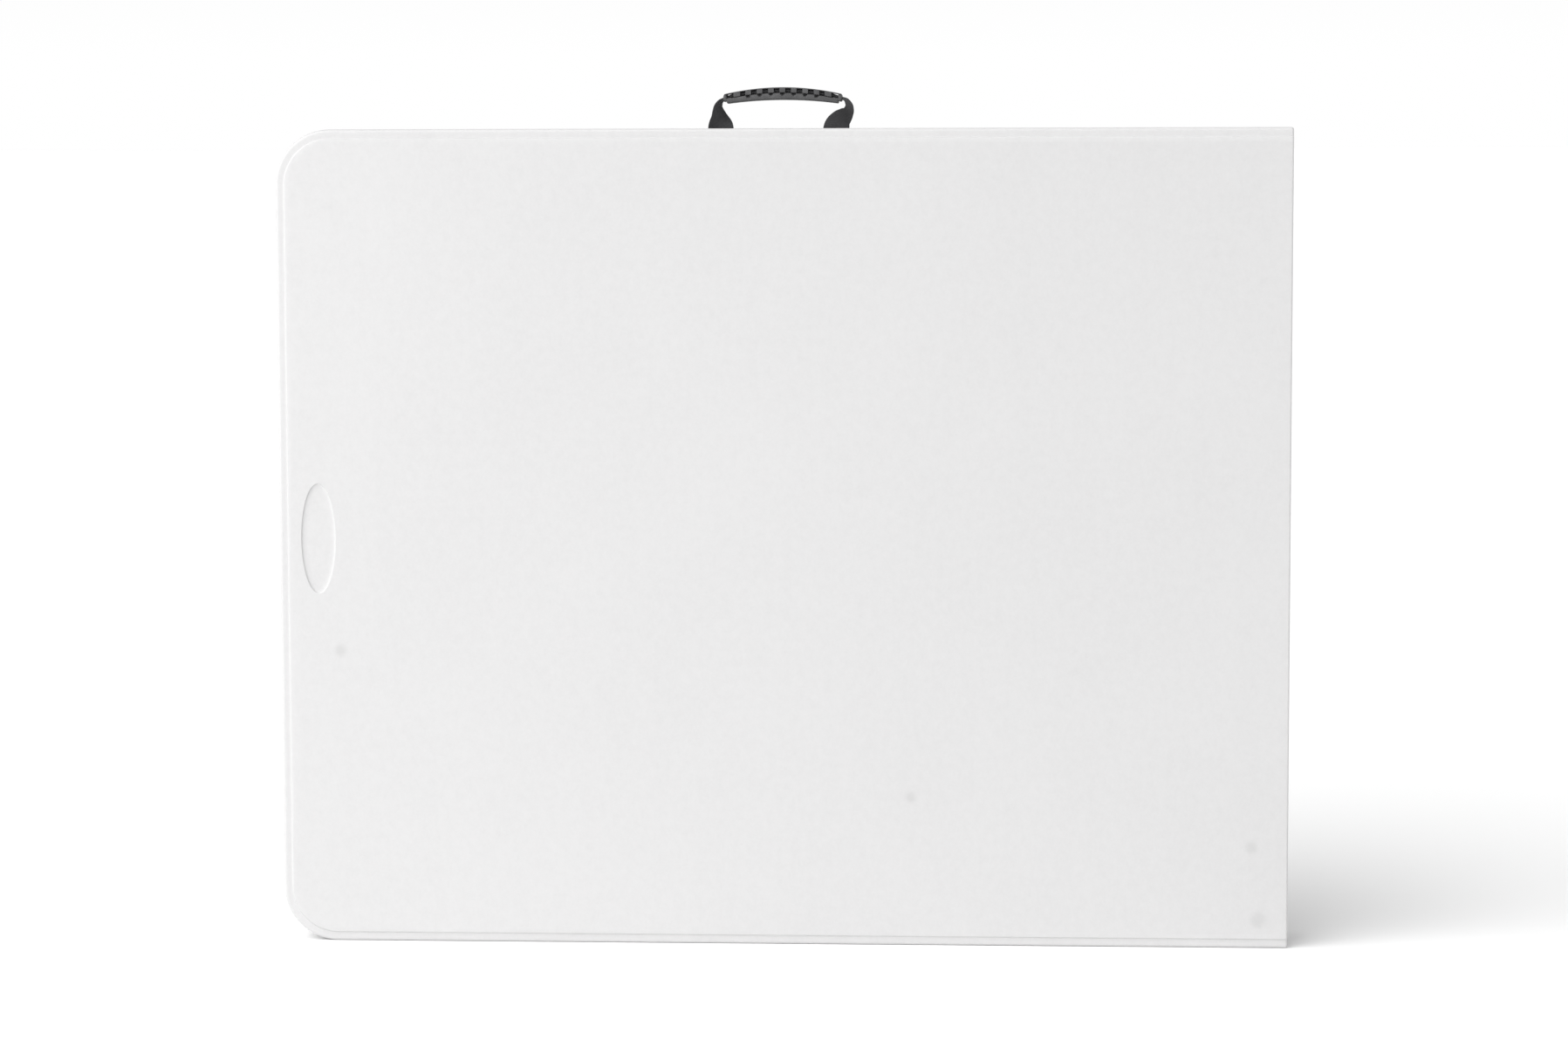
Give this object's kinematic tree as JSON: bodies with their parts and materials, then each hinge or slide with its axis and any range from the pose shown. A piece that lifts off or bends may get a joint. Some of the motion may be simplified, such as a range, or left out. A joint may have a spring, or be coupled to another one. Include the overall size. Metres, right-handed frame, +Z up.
{
  "type": "folding table",
  "caption": "Fold-in-half table with moulded white tops, folded shut on its long edge with a carrying handle; folding steel legs and sliding braces inside.",
  "frame": {"origin": "middle of the folded table's footprint, on the long edge it stands on", "axes": "+X along the folded length towards the hinge end, +Y from the front half to the rear half, +Z up towards the handle"},
  "size_m": [0.9144, 0.09, 0.777],
  "materials": {
    "white_hdpe": "fine moulded grain",
    "grey_steel": "powder coat",
    "bright_steel": "zinc plated",
    "black_rubber": "moulded",
    "black_plastic": "moulded",
    "grey_plastic": "moulded, slightly soft",
    "black_webbing": "woven"
  },
  "bodies": {
    "front_half": {"front_top": "white_hdpe", "front_rail_upper": "grey_steel", "front_rail_lower": "grey_steel", "front_brace_track": "grey_steel", "front_rail_screws": "bright_steel", "front_track_screws": "bright_steel", "catch_sockets": "black_plastic", "webbing_root": "black_webbing", "webbing_anchor": "bright_steel", "anchor_screws": "bright_steel"},
    "hinge_links": {"hinge_link_upper": "grey_steel", "hinge_link_lower": "grey_steel", "hinge_pins": "bright_steel"},
    "rear_half": {"rear_top": "white_hdpe", "rear_rail_upper": "grey_steel", "rear_rail_lower": "grey_steel", "rear_brace_track": "grey_steel", "rear_rail_screws": "bright_steel", "rear_track_screws": "bright_steel", "catch_studs": "black_plastic"},
    "front_legs": {"front_leg_frame": "grey_steel", "front_feet": "black_rubber"},
    "rear_legs": {"rear_leg_frame": "grey_steel", "rear_feet": "black_rubber"},
    "front_brace": {"front_brace": "bright_steel"},
    "rear_brace": {"rear_brace": "bright_steel"},
    "front_shoe": {"front_brace_shoe": "black_plastic"},
    "rear_shoe": {"rear_brace_shoe": "black_plastic"},
    "handle": {"handle_grip": "grey_plastic", "handle_webbing": "black_webbing"}
  },
  "joints": [
    {"name": "fold_front_pin", "type": "hinge", "parent": "front_half", "child": "hinge_links", "pos_m": [0.43575, -0.0225, 0.37], "axis": [0, 0, -1], "range_deg": [0, 90]},
    {"name": "fold_rear_pin", "type": "hinge", "parent": "hinge_links", "child": "rear_half", "pos_m": [0.43575, 0.0225, 0.37], "axis": [0, 0, -1], "range_deg": [0, 90]},
    {"name": "front_leg_swing", "type": "hinge", "parent": "front_half", "child": "front_legs", "pos_m": [-0.43525, -0.014, 0.37], "axis": [0, 0, 1], "range_deg": [0, 91.1]},
    {"name": "rear_leg_swing", "type": "hinge", "parent": "rear_half", "child": "rear_legs", "pos_m": [-0.43525, 0.014, 0.37], "axis": [0, 0, -1], "range_deg": [0, 91.1]},
    {"name": "front_brace_swing", "type": "hinge", "parent": "front_legs", "child": "front_brace", "pos_m": [-0.13531, -0.01975, 0.37], "axis": [0, 0, 1], "range_deg": [-128.92, 0]},
    {"name": "rear_brace_swing", "type": "hinge", "parent": "rear_legs", "child": "rear_brace", "pos_m": [-0.13531, 0.01975, 0.37], "axis": [0, 0, -1], "range_deg": [-128.92, 0]},
    {"name": "front_shoe_slide", "type": "slide", "parent": "front_half", "child": "front_shoe", "axis": [-1, 0, 0], "range_m": [0, 0.40762]},
    {"name": "rear_shoe_slide", "type": "slide", "parent": "rear_half", "child": "rear_shoe", "axis": [-1, 0, 0], "range_m": [0, 0.40762]},
    {"name": "handle_swing", "type": "hinge", "parent": "front_half", "child": "handle", "pos_m": [0, -0.0014, 0.742], "axis": [1, 0, 0], "range_deg": [-55, 55]}
  ],
  "couplings": [
    {"joint": "fold_rear_pin", "follows": "fold_front_pin", "ratio": 1},
    {"joint": "front_leg_swing", "follows": "fold_front_pin", "ratio": 1.0122},
    {"joint": "rear_leg_swing", "follows": "fold_front_pin", "ratio": 1.0122},
    {"joint": "front_brace_swing", "follows": "fold_front_pin", "ratio": -1.4325},
    {"joint": "rear_brace_swing", "follows": "fold_front_pin", "ratio": -1.4325},
    {"joint": "front_shoe_slide", "follows": "fold_front_pin", "m_per_rad": 0.25949},
    {"joint": "rear_shoe_slide", "follows": "fold_front_pin", "m_per_rad": 0.25949}
  ]
}
